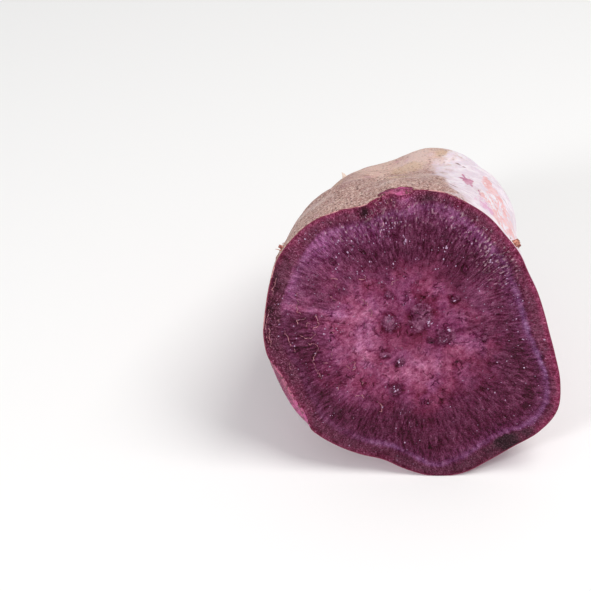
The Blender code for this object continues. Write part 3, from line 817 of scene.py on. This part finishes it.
def cut_flesh():
    angle, share = disc_grid(FLESH_GRID)
    radius = share * flesh_edge(angle)
    right, up = radius * np.cos(angle), radius * np.sin(angle)
    corners = placed(right, up, -flesh_relief(right, up)).reshape(-1, 3).tolist()
    index = np.arange(angle.size).reshape(angle.shape)
    flesh = mesh_piece("potato_flesh", corners, woven(index.T))
    right, up, angle, radius = (x.ravel() for x in (right, up, angle, radius))
    set_in = flesh_edge(angle) - radius
    flat = np.stack((right, up, 0 * right), axis=-1)
    past_ring = set_in - smooth_round(angle, RING_SET_IN) + 0.35 * rumple(flat, 2.6, 21.0)
    torn = 0.25 * rumple(flat, 2.2, 31.0) + 0.2 * rumple(flat, 0.9, 33.0)
    heart = past_ring + smooth_round(angle, HEART_REACH)
    heart += 5.0 * rumple(flat, 7, 23.0) + 2.2 * rumple(flat, 2.5, 25.0) + 6 * torn
    murky = cloud_of(right, up, MURKY_SPOTS)
    for degrees, half_width, strength in MURKY_BARK:
        along = turn_between(angle, degrees) / math.radians(half_width)
        spoilt = strength * np.exp(-(along**2) / 2) * soft_step(-past_ring, -0.4, 1.4)
        murky = np.maximum(murky, spoilt)
    glinting = cloud_of(right, up, GLINTING_STRETCHES) * soft_step(past_ring, -1.5, 0.5)
    bundle, _, bundle_light = bundle_share(right, up)
    torn_edge = 1 + 1.6 * torn
    keep(
        flesh,
        ray=np.stack((np.cos(angle), np.sin(angle), radius), axis=-1),
        flat=flat,
        set_in=set_in,
        past_ring=past_ring,
        **{name: smooth_round(angle, values) for name, values in ROUND_THE_CUT.items()},
        heart=soft_step(heart, 6, 19),
        pink=np.maximum(cloud_of(right, up, PINK_CLOUDS) * torn_edge, streak_share(right, up)),
        dark=cloud_of(right, up, DARK_CLOUDS) * torn_edge,
        bundle=bundle,
        bundle_light=bundle_light,
        violet=cloud_of(right, up, VIOLET_BLOOMS) * torn_edge,
        bloom=cloud_of(right, up, BARK_BLOOMS) * torn_edge,
        murk=murky * (1 + 1.2 * torn),
        glinting=glinting * (0.75 + 1.0 * rumple(flat, 4, 35.0)),
        fibre=flesh_fibres(angle, radius),
        # The height, which the finish reads to paint shade in the hollows and a highlight on the raised
        # flesh.
        height=flesh_relief(right, up) - 0.7 * soft_step(bundle, -0.1, 0.6),
        by_film=nearness(flat, film_lines()),
        grain=flesh_grains(angle, radius) * grainy_share(angle, set_in),
    )
    return flesh


def flesh_finish():
    f = Finish("sweet_potato_flesh")
    past_ring, set_in = f.stored("past_ring"), f.stored("set_in")
    in_heart, fibre, deep = f.stored("heart"), f.stored("fibre"), f.stored("height")
    bundle, by_bark = f.stored("bundle"), f.stored("bark")
    ray = f.stored("ray", "Vector")
    streaks = f.noise(where=ray * (100, 100, 0.45), detail=2.5, roughness=0.6)
    dashes = f.noise(where=ray * (70, 70, 0.8), detail=2, roughness=0.6)
    cloud = f.noise(6, detail=4, roughness=0.6)
    mottle = f.noise(1.6, detail=4, roughness=0.65, warp=0.3)
    slant = {"Vector": f.stored("flat", "Vector"), "Rotation": WISP_SLANT, "Scale": WISP_SIZES}
    slant = f.node("ShaderNodeMapping", 0, slant, vector_type="TEXTURE")
    wisps = f.noise(where=slant, detail=5, roughness=0.68, warp=0.4)
    fine = f.noise(0.4, detail=3, roughness=0.7)
    # The lightness is added up in light, and the tint is laid up in coats. First the wood and the heart.
    wood = fibre.band(-0.35, 0.35, 41, 61) + dashes.band(0.48, 0.36, 0, -9)
    in_wood = past_ring.band(0.5, 2) * past_ring.band(20, 11)
    wood += streaks.band(0.55, 0.7, 0, 26) * in_wood
    # Painted glints: brighter streaks where wet starch glints in the wood.
    wood += streaks.band(0.52, 0.64, 0, 30) * f.stored("glinting")
    wood += past_ring.band(0.4, 1.4) * past_ring.band(8.5, 5) * f.stored("shade")
    heart = mottle.band(0.34, 0.64, 60, 88) + wisps.band(0.52, 0.68, 0, 20) + wisps.band(0.46, 0.34, 0, -14)
    light = in_heart.band(0, 1, wood, heart) + cloud.band(0.35, 0.65, -5, 7)
    lilac = f.noise(6, detail=2, warp=0.3).band(0.34, 0.66)
    f.coats = f.over(tint(58, 29), f.over(tint(77, 32), tint(71, 39), lilac), in_heart)
    # Darker stretches and clouds of paler pink.
    light += f.stored("dark") * mottle.band(0.65, 0.4, -6, -26)
    pink = f.stored("pink")
    light += pink * wisps.band(0.36, 0.6, 30, 62)
    f.coat(f.over(tint(76, 36), tint(70, 43), lilac), pink)
    # The ring: its soft glow, its line and its violet blooms.
    halo = past_ring.band(-0.9, 0.6) * past_ring.band(5.6, 0.6)
    halo = halo * (dashes.band(0.36, 0.6, 0.15, 1) * f.stored("ring_glow"))
    ragged_ring = past_ring + dashes.band(0, 1, -0.4, 0.4)
    line = ragged_ring.band(-1, 0.2) * ragged_ring.band(1.9, 0.3)
    line = line * (cloud.band(0.35, 0.6, 0.5, 1) * f.stored("ring_line"))
    violet = f.stored("violet") * dashes.band(0.3, 0.6, 0.4, 1)
    light += halo * 22 + line * 38 + violet * 48
    f.coat(tint(60, 42), halo)
    f.coat(tint(48, 44), line)
    f.coat(tint(70, 50), violet)
    # The bark, speckled, and scarlet close to the skin.
    in_bark = (past_ring + mottle * 2.4).band(0.8, -0.6)
    bark = 42 + by_bark * dashes.band(0.36, 0.62, 8, 36) + mottle.band(0.52, 0.62, 0, -12)
    speckle = fine.band(0.54, 0.68, 0, 60) * f.stored("rough_bark")
    bark += speckle * cloud.band(0.4, 0.6, 0.3, 1) + past_ring.band(-0.2, -2.2, -8, 0)
    bark += fine.band(0.46, 0.34, 0, -12) + streaks.band(0.5, 0.7, 0, 26) * by_bark
    bark_hue = f.over(tint(42, 18), tint(80, 34), by_bark * cloud.band(0.4, 0.6, 0.5, 1))
    light = in_bark.band(0, 1, light, bark)
    f.coat(bark_hue, in_bark)
    bloom = f.stored("bloom") * dashes.band(0.3, 0.6, 0.5, 1)
    light += bloom * 44
    f.coat(tint(74, 46), bloom)
    scarlet = (set_in + mottle * 1.6).band(2.6, 1.2) * by_bark
    light += scarlet * 14
    f.coat(tint(92, 36), scarlet * 0.75)
    # The clear bundles of vessels in their darker rims.
    clear = f.stored("bundle_light") + mottle.band(0.45, 0.65, -10, 30)
    torn_bundle = bundle + mottle.band(0.3, 0.7, -0.2, 0.2)
    light = torn_bundle.band(-0.15, 0.4, light, clear)
    f.coat(tint(58, 30), torn_bundle.band(-0.1, 0.4))
    rim = torn_bundle.band(-0.6, 0) * torn_bundle.band(0.5, 0.05)
    light += rim * in_heart.band(0, 0.6, 0.4, 1) * cloud.band(0.4, 0.6, -26, -10)
    # Light vessel ends, painted glints of wet starch, and torn grains, lighter on their tops as a painted
    # highlight.
    seed, odds = f.cells(where=ray * (46, 46, 0.75))
    seed = seed.band(0.32, 0.14) * (odds.band(0.5, 0.56) * set_in.band(1.5, 3))
    glint, odds = f.cells(where=ray * (95, 95, 1.1))
    glint = glint.band(0.26, 0.12) * (odds.band(0.7, 0.76) * f.stored("glinting"))
    grains_and_highlight = f.stored("grain").band(0.05, 0.22)
    light += seed * cloud.band(0.35, 0.6, 16, 34) + glint * 70
    f.coat(tint(44, 26), glint * 0.6)
    # Torn grains, tan, and lighter on their tops as a painted highlight.
    light += grains_and_highlight * streaks.band(0.4, 0.6, 20, 60)
    f.coat(tint(36, 12), grains_and_highlight * 0.8)
    # The heart's pits and cracks, painted dark as shade, with a painted highlight on the lip beside each
    # crack; then the painted shadow beside the films, and painted shade in the hollows with a painted
    # highlight on the raised flesh.
    pit, odds = f.cells(where=slant * (0.42, 0.3, 0.4))
    pit = pit.band(0.26, 0.1) * odds.band(0.72, 0.78) * in_heart
    tear = f.noise(4.2, detail=4, roughness=0.6, warp=0.5)
    torn_here = f.noise(3.5, detail=2).band(0.53, 0.61) * in_heart.band(0.3, 0.8)
    crack = tear.band(0.47, 0.5) * tear.band(0.53, 0.5) * torn_here
    crack_lip_highlight = tear.band(0.52, 0.545) * tear.band(0.6, 0.55) * torn_here
    light += crack_lip_highlight * 16 - crack * 34
    # Painted shade in the pits, and the painted shadow beside the films.
    light -= pit * 30 + f.stored("by_film") * 13
    # Painted shade in the hollows and a painted highlight on the raised flesh, read from its height.
    light += deep.band(-0.04, -0.26, 0, -18) + deep.band(0.06, 0.3, 0, 12)
    light += fine.band(0.25, 0.75, -16, 33) * in_heart.band(0, 1, 1, 0.7) + in_heart * 2
    # The murky spots, over all of it: in the sunken pits and the fold at the top notch the dark is painted
    # shade; where the bark has gone murky with age it is its own colour.
    murk = f.stored("murk").band(0.2, 0.9, 0, 0.9)
    light = murk.band(0, 1, light, fine.band(0.4, 0.75, 20, 80))
    f.coat(tint(22, 8), murk)
    rough = mottle.band(0.3, 0.7, 0.24, 0.46) * bundle.band(0, 0.4, 1, 0.5)
    f.set(Base_Color=f.tinted(light, f.coats), Roughness=rough)
    f.set(Subsurface_Weight=0.1, Subsurface_Scale=0.001)
    f.shader.inputs["Subsurface Radius"].default_value = (1, 0.35, 0.5)
    f.shader.inputs["Specular IOR Level"].default_value = 0.17
    height = fine * 0.25 + streaks * in_heart.band(1, 0, 0.2, 1.1)
    height += (mottle + wisps) * in_heart.band(0, 1, 0.25, 0.8)
    height += seed * 0.35 - pit * 0.5 - crack * 0.5
    f.relief(height, 0.7)
    return f.material


flesh = cut_flesh()
flesh.data.materials.append(flesh_finish())
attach(flesh, "root")
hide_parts("potato_half")


# The film edges.
# Where the knife dragged, the flesh curled up in thin films that have dried to a tan edge. Each is a
# low, narrow ridge along a wandering line on the cut.

FILM_HEIGHT, FILM_HALF_WIDTH, FILM_SINK = 0.26, 0.12, 0.05
# Across a ridge: shares of its half-width and of its height.
FILM_PROFILE = ((-1, 0), (0.25, 1), (1, 0))


def film_ridges():
    corners, faces = [], []
    for line, taper in film_lines():
        ahead = np.gradient(line, axis=0)
        ahead /= np.linalg.norm(ahead, axis=1, keepdims=True)
        side = np.stack((-ahead[:, 1], ahead[:, 0]), axis=-1)
        faces += woven(len(corners) + np.arange(3 * len(line)).reshape(3, -1))
        for share, lift in FILM_PROFILE:
            spot = line + side * FILM_HALF_WIDTH * share
            high = flesh_relief(*spot.T) + FILM_HEIGHT * lift * taper - FILM_SINK
            corners += placed(*spot.T, -high).tolist()
    return mesh_piece("film_edges", corners, faces)


def film_finish():
    f = Finish("dried_film")
    colour = f.over(dye(118, 56, 78), dye(190, 126, 138), f.noise(1.1, detail=2).band(0.4, 0.62))
    f.set(Base_Color=colour, Roughness=0.45, Subsurface_Weight=0.2, Subsurface_Scale=0.0005)
    return f.material


films = film_ridges()
films.data.materials.append(film_finish())
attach(films, "root")
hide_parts("potato_half")


# The juice beads.
# The cut sweats starchy juice out of its vessels. Each bead is a low, glossy dome on the flesh, more of
# them in the outer wood and at the top.

BEAD_COUNT, BEAD_SIDES = 640, 7
# A bead's rings, as shares of its size out and up, and how high its top is.
BEAD_PROFILE, BEAD_TOP = ((1, 0), (0.62, 0.5)), 0.7
# The smallest bead's size and how much bigger they get, in the clusters and elsewhere.
CLUSTER_BEADS, LONE_BEADS = (0.11, 0.14), (0.09, 0.12)
BEADS_OFF_RIM = 1.2

# Each cluster of beads: across, up, how many and how far they spread.
BEAD_CLUSTERS = (
    (-2.4, 26.3, 4, 0.7), (8.3, 25, 5, 0.6), (-5.8, 3.9, 14, 1), (4.6, 3, 9, 1.3), (2, 8.2, 4, 1),
    (9.9, 1.2, 5, 0.8), (8.6, -1.6, 5, 0.8), (-3.1, -8.2, 5, 0.7), (-7, -6.6, 2, 0.4),
    (-3.9, -16.8, 5, 1.1), (-9, 28.5, 12, 2.6), (-15, 26.5, 12, 2.6), (-6, 31.5, 8, 2),
    (-20, 24.5, 8, 2.4), (20.5, 21, 8, 3), (-6.5, 11.1, 2, 0.4), (11, 9.8, 3, 0.5), (-14.3, 17, 4, 1),
)


def bead_places(chance):
    """Where the beads stand on the cut, and how big they are, in mm."""
    places = []
    least, more = CLUSTER_BEADS
    for across, up, count, spread in BEAD_CLUSTERS:
        for _ in range(count):
            spot = np.array((across, up)) + chance.normal(0, 0.6 * spread, 2)
            places.append((spot, least + more * chance.uniform(0, 1)))
    least, more = LONE_BEADS
    while len(places) < BEAD_COUNT:
        angle, share = chance.uniform(0, 2 * math.pi), math.sqrt(chance.uniform(0, 1))
        radius = share * (float(flesh_edge(np.array(angle))) - BEADS_OFF_RIM)
        wanted = 0.35 + 0.65 * float(soft_step(np.array(radius), 12, 24))
        wanted *= 0.75 + 0.35 * math.sin(angle)
        if chance.uniform(0, 1) < wanted:
            spot = radius * np.array((math.cos(angle), math.sin(angle)))
            places.append((spot, least + more * chance.uniform(0, 1) ** 2.5))
    return places


def hoop(sides, one, two):
    """Points round a ring spanned by two directions."""
    turns = np.arange(sides) * 2 * math.pi / sides
    return np.outer(np.cos(turns), one) + np.outer(np.sin(turns), two)


def ring_mesh(name, stacks):
    """One mesh from stacks of rings, each closed over its last ring by a top point."""
    corners, faces = [], []
    for rings, top in stacks:
        rings = np.array(rings)
        index = len(corners) + np.arange(rings[..., 0].size).reshape(rings.shape[:2])
        corners += [*rings.reshape(-1, 3).tolist(), list(top)]
        faces += woven(np.c_[index, index[:, :1]].T)
        end = index[-1].tolist()
        faces += [(a, b, len(corners) - 1) for a, b in zip(end, end[1:] + end[:1])]
    return mesh_piece(name, corners, faces)


def juice_beads():
    chance = np.random.default_rng(7)
    stacks = []
    for mid, size in bead_places(chance):
        out = mid / np.hypot(*mid)
        long_way = out * chance.uniform(1.0, 1.7)
        base = float(flesh_relief(mid[:1], mid[1:])[0])
        rings = []
        for share, lift in BEAD_PROFILE:
            ring = mid + size * share * hoop(BEAD_SIDES, long_way, (-out[1], out[0]))
            rings.append(placed(*ring.T, -(base + lift * size)))
        stacks.append((rings, placed(*mid, -(base + BEAD_TOP * size))))
    return ring_mesh("juice_beads", stacks)


def juice_finish():
    f = Finish("starchy_juice")
    colour = f.over(dye(118, 68, 102), dye(190, 156, 188), f.noise(3, detail=1).band(0.4, 0.62))
    f.set(Base_Color=colour, Roughness=0.12)
    f.shader.inputs["Specular IOR Level"].default_value = 0.6
    return f.material


beads = juice_beads()
beads.data.materials.append(juice_finish())
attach(beads, "root")
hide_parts("potato_half")


# The side roots.
# Thin roots left the tuber round its sides. What is left is short, woody stubs with broken ends, two
# knobs at the cut's right shoulder and a few dry curls.

# Each stub: angle, depth, foot radius, height.
ROOT_STUBS = (
    (41, 4.6, 1.3, 1), (43.5, 1.6, 1, 1.5), (146, 2.6, 0.6, 1.1), (178, 42, 1.5, 1.6),
    (236, 58, 1.3, 1.3), (335, 36, 1.5, 1.5), (10, 66, 1.2, 1.4), (68, 76, 1.3, 1.2),
)
STUB_SIDES = 11
# Up a stub, down into its hollow end: shares of its height and of its foot.
STUB_PROFILE = ((-0.4, 1.25), (0, 1.1), (0.35, 0.85), (0.7, 0.78), (0.95, 0.72), (1, 0.45), (0.85, 0.2))

CURL_SIDES, CURL_RINGS = 5, 14
# Each curl: angle, depth, length, thickness.
ROOT_CURLS = (
    (146.5, 1.4, 2.6, 0.16), (148.5, 2.2, 3, 0.12), (144.5, 3.6, 2, 0.12), (45.5, 2.2, 1.6, 0.14),
    (179, 43, 3.5, 0.16), (237, 57, 3, 0.14), (334, 37, 3, 0.15), (11, 65, 3, 0.14),
    (300, 50, 2.6, 0.12), (200, 20, 2.4, 0.12),
)


def skin_frame(degrees, depth):
    """A point on the skin, with the ways round, along and straight out from it."""
    angle = np.radians(np.array([degrees, degrees + 0.5, degrees]))
    where = np.array([depth, depth, depth + 0.3])
    spot, beside, behind = skin_point(angle, where, skin_radius(angle, where))
    around = (beside - spot) / np.linalg.norm(beside - spot)
    along = (behind - spot) / np.linalg.norm(behind - spot)
    out = np.cross(along, around)
    return spot, around, along, out / np.linalg.norm(out)


def root_stubs():
    chance = np.random.default_rng(3)
    stacks = []
    for degrees, depth, foot, height in ROOT_STUBS:
        spot, around, along, out = skin_frame(degrees, depth)
        rings = []
        for share, width in STUB_PROFILE:
            reach = foot * width * (1 + 0.12 * chance.uniform(-1, 1, STUB_SIDES))
            lift = height * share + 0.1 * chance.uniform(-1, 1, STUB_SIDES)
            ring = reach[:, None] * hoop(STUB_SIDES, around, along) + np.outer(lift, out)
            rings.append(spot + MM * ring)
        stacks.append((rings, rings[-1].mean(axis=0)))
    return ring_mesh("root_stubs", stacks)


def root_curls():
    chance = np.random.default_rng(11)
    stacks = []
    for degrees, depth, length, thick in ROOT_CURLS:
        spot, _, _, out = skin_frame(degrees, depth)
        way, bend = out + 0.4 * chance.uniform(-1, 1, 3), chance.uniform(-1, 1, 3)
        place, rings = spot - out * 0.3 * MM, []
        for share in np.linspace(0, 1, CURL_RINGS):
            way = way + 0.32 * bend + 0.18 * chance.uniform(-1, 1, 3)
            way /= np.linalg.norm(way)
            one = np.cross(way, (0.3, 0.2, 1.0))
            one /= np.linalg.norm(one)
            rings.append(place + MM * thick * (1 - 0.6 * share) * hoop(CURL_SIDES, one, np.cross(way, one)))
            place = place + way * MM * length / (CURL_RINGS - 1)
        stacks.append((rings, rings[-1].mean(axis=0)))
    return ring_mesh("root_curls", stacks)


def root_finish():
    f = Finish("dry_root")
    bits = f.noise(0.6, detail=3)
    f.coats = f.over(dye(126, 62, 56), dye(206, 140, 120), bits.band(0.38, 0.6))
    f.coat(dye(84, 48, 44), f.noise(0.3).band(0.55, 0.7) * 0.6)
    f.set(Base_Color=f.coats, Roughness=0.7)
    f.relief(bits, 0.15)
    return f.material


woody = root_finish()
for roots in (root_stubs(), root_curls()):
    roots.data.materials.append(woody)
    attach(roots, "root")
    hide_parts("potato_half")


# The loose scrap of skin.
# A scrap of the dry outer skin has come up at the tuber's left shoulder. It is a small, thin, curled
# sheet, still held along one side.

SCRAP_SPOT = (131, 56.5)
SCRAP_WIDTH, SCRAP_HEIGHT = 1.9, 1.7
SCRAP_ROWS, SCRAP_COLUMNS = 5, 8


def skin_scrap():
    spot, around, along, out = skin_frame(*SCRAP_SPOT)
    side, rise = np.meshgrid(np.linspace(-0.5, 0.5, SCRAP_COLUMNS), np.linspace(0, 1, SCRAP_ROWS))
    across = side * SCRAP_WIDTH * (1 - 0.45 * rise)
    lift = SCRAP_HEIGHT * rise * (1 - 1.6 * side**2) + 0.25 * np.sin(9 * side + 1) * rise - 0.2
    lean = 0.9 * rise**2 + 0.4 * side
    corners = spot + MM * np.stack((across, lift, lean), axis=-1) @ np.array((around, out, along))
    index = np.arange(side.size).reshape(side.shape)
    return mesh_piece("skin_scrap", corners.reshape(-1, 3).tolist(), woven(index.T))


def scrap_finish():
    f = Finish("dry_scrap")
    f.set(Base_Color=f.over(dye(214, 190, 176), dye(240, 222, 208), f.noise(1)), Roughness=0.7)
    return f.material


scrap = skin_scrap()
scrap.data.materials.append(scrap_finish())
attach(scrap, "root")
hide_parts("potato_half")


# The floor, the light and the camera.
# The floor is a plain pale sheet. The light is a large soft one behind the right shoulder, with the
# white room as fill. The camera looks down at the cut from in front.

CAMERA_ELEVATION = math.radians(36)
CAMERA_DISTANCE = 0.450
CAMERA_SIDEWAYS, CAMERA_RAISED = -0.03128, 0.01007
LENS_PER_SENSOR = 1676.25 / 591
SENSOR = 36
LIGHT_AIM = Vector((0, 0, 0.04))
FLOOR_HALF_SIZE, FLOOR_DROP = 4.0, 0.0002


def plain_floor():
    s = FLOOR_HALF_SIZE
    floor = mesh_piece("floor", [(-s, -s, 0), (s, -s, 0), (s, s, 0), (-s, s, 0)], [(0, 1, 2, 3)])
    floor.location.z = -FLOOR_DROP
    f = Finish("white_sheet")
    f.set(Base_Color=(0.93, 0.93, 0.93, 1), Roughness=0.9)
    floor.data.materials.append(f.material)


def soft_light(name, place, size, power, colour):
    lamp = bpy.data.lights.new(name, "AREA")
    lamp.size, lamp.energy, lamp.color = size, power, colour
    stand = bpy.data.objects.new(name, lamp)
    bpy.context.scene.collection.objects.link(stand)
    stand.location = place
    stand.rotation_euler = (Vector(place) - LIGHT_AIM).to_track_quat("Z", "Y").to_euler()


def white_room(strength):
    room = bpy.data.worlds.new("white_room")
    bpy.context.scene.world = room
    room.use_nodes = True
    walls = room.node_tree.nodes["Background"].inputs
    walls["Color"].default_value = (1.0, 1.0, 1.0, 1.0)
    walls["Strength"].default_value = strength


def camera_at_photo_angle():
    forward = Vector((0, math.cos(CAMERA_ELEVATION), -math.sin(CAMERA_ELEVATION)))
    right = Vector((1, 0, 0))
    up = right.cross(forward)
    place = Vector(PITH) - forward * CAMERA_DISTANCE + right * CAMERA_SIDEWAYS + up * CAMERA_RAISED
    lens = bpy.data.cameras.new("camera")
    lens.sensor_width = SENSOR
    lens.lens = SENSOR * LENS_PER_SENSOR
    lens.clip_start = 0.01
    camera = bpy.data.objects.new("camera", lens)
    bpy.context.scene.collection.objects.link(camera)
    camera.matrix_world = Matrix.Translation(place) @ Matrix((right, up, -forward)).transposed().to_4x4()
    bpy.context.scene.camera = camera


plain_floor()
soft_light("key", (0.36, -0.16, 0.88), 0.5, 5.2, (1.0, 0.98, 0.96))
soft_light("front", (-0.55, -0.7, 0.5), 0.18, 3.2, (0.98, 0.99, 1.0))
white_room(0.48)
camera_at_photo_angle()
bpy.context.scene.view_settings.view_transform = "Standard"
